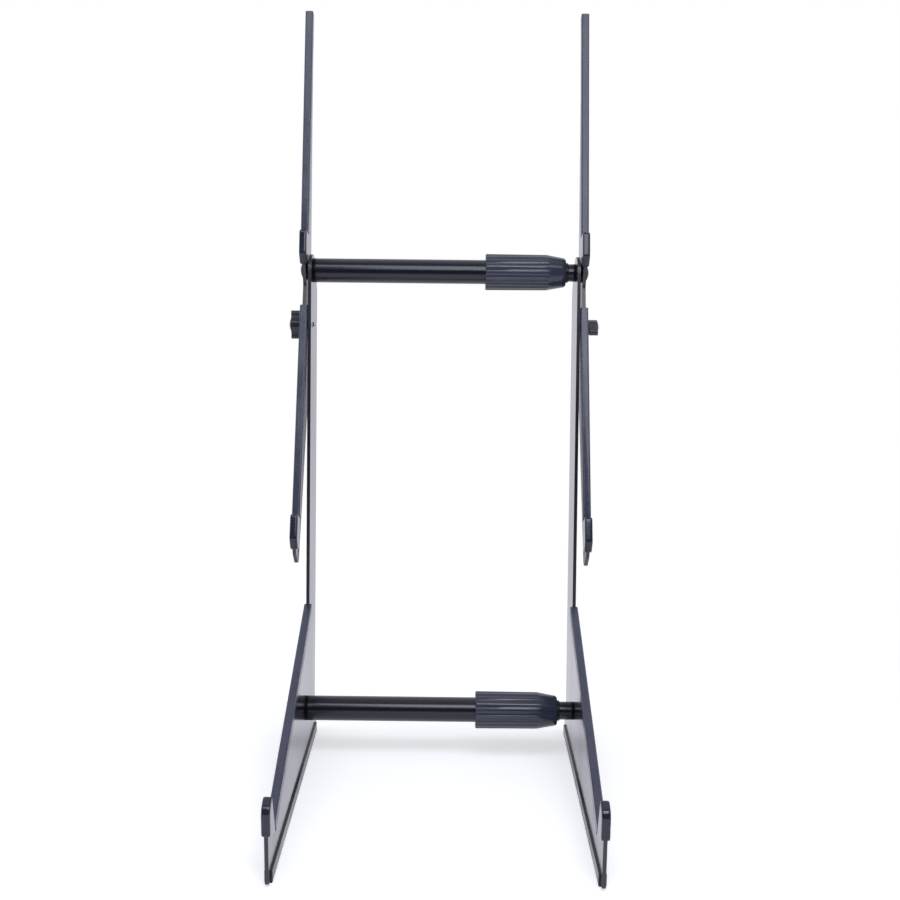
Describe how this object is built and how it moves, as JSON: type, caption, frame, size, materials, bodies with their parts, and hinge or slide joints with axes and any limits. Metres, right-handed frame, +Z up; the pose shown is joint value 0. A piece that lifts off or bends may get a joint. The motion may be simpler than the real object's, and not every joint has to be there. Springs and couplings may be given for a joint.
{
  "type": "desktop studio stand",
  "caption": "Tiered desktop stand with rubber-edged steel sides, tilting upper plates and telescoping crossbars that lock with fluted twist grips",
  "frame": {"origin": "On the floor, midway between the two sides and midway between the front and back of the stand", "axes": "+Z up, +X across the stand to the user's right, -Y towards the user"},
  "size_m": [0.285, 0.3702, 0.6741],
  "materials": {
    "steel_plate": "satin",
    "edging_rubber": "matte",
    "cap_rubber": "semi-gloss",
    "tube_paint": "gloss",
    "grip_plastic": "matte",
    "clutch_plastic": "matte",
    "knob_plastic": "satin",
    "black_fastener": "satin"
  },
  "bodies": {
    "left_frame": {"left_side_plate": "steel_plate", "left_foot_edging": "edging_rubber", "left_lower_arm_edging": "edging_rubber", "left_lower_lip_cap": "cap_rubber", "left_pivot_bolt": "black_fastener", "left_pivot_spacer": "black_fastener", "left_lower_bolt": "black_fastener", "left_lock_nut": "black_fastener", "upper_outer_tube": "tube_paint", "upper_outer_plug": "clutch_plastic", "upper_thread_ferrule": "clutch_plastic", "upper_clutch_collet": "clutch_plastic", "lower_outer_tube": "tube_paint", "lower_outer_plug": "clutch_plastic", "lower_thread_ferrule": "clutch_plastic", "lower_clutch_collet": "clutch_plastic"},
    "right_frame": {"right_side_plate": "steel_plate", "right_foot_edging": "edging_rubber", "right_lower_arm_edging": "edging_rubber", "right_lower_lip_cap": "cap_rubber", "right_pivot_bolt": "black_fastener", "right_pivot_spacer": "black_fastener", "right_lower_bolt": "black_fastener", "right_lock_nut": "black_fastener", "upper_inner_tube": "tube_paint", "upper_inner_plug": "clutch_plastic", "upper_inner_glide": "clutch_plastic", "lower_inner_tube": "tube_paint", "lower_inner_plug": "clutch_plastic", "lower_inner_glide": "clutch_plastic"},
    "left_tilt": {"left_tilt_plate": "steel_plate", "left_middle_arm_edging": "edging_rubber", "left_middle_lip_cap": "cap_rubber", "left_upper_arm_edging": "edging_rubber", "left_upper_lip_cap": "cap_rubber"},
    "left_lock": {"left_lock_knob": "knob_plastic", "left_lock_screw": "black_fastener", "left_lock_washer": "black_fastener"},
    "right_tilt": {"right_tilt_plate": "steel_plate", "right_middle_arm_edging": "edging_rubber", "right_middle_lip_cap": "cap_rubber", "right_upper_arm_edging": "edging_rubber", "right_upper_lip_cap": "cap_rubber"},
    "right_lock": {"right_lock_knob": "knob_plastic", "right_lock_screw": "black_fastener", "right_lock_washer": "black_fastener"},
    "upper_grip": {"upper_twist_grip": "grip_plastic"},
    "lower_grip": {"lower_twist_grip": "grip_plastic"}
  },
  "joints": [
    {"name": "width_slide", "type": "slide", "parent": "left_frame", "child": "right_frame", "axis": [1, 0, 0], "range_m": [-0.006, 0.14]},
    {"name": "left_tilt_hinge", "type": "hinge", "parent": "left_frame", "child": "left_tilt", "pos_m": [-0.127, 0.1304, 0.4386], "axis": [1, 0, 0], "range_deg": [-12, 12]},
    {"name": "left_lock_turn", "type": "hinge", "parent": "left_frame", "child": "left_lock", "pos_m": [-0.13, 0.12473, 0.38892], "axis": [1, 0, 0], "continuous": true},
    {"name": "right_tilt_hinge", "type": "hinge", "parent": "right_frame", "child": "right_tilt", "pos_m": [0.127, 0.1304, 0.4386], "axis": [1, 0, 0], "range_deg": [-12, 12]},
    {"name": "right_lock_turn", "type": "hinge", "parent": "right_frame", "child": "right_lock", "pos_m": [0.13, 0.12473, 0.38892], "axis": [1, 0, 0], "continuous": true},
    {"name": "upper_grip_twist", "type": "hinge", "parent": "left_frame", "child": "upper_grip", "pos_m": [0.07425, 0.1304, 0.4386], "axis": [1, 0, 0], "range_deg": [0, 180]},
    {"name": "lower_grip_twist", "type": "hinge", "parent": "left_frame", "child": "lower_grip", "pos_m": [0.06875, 0.04798, 0.048], "axis": [1, 0, 0], "range_deg": [0, 180]}
  ]
}
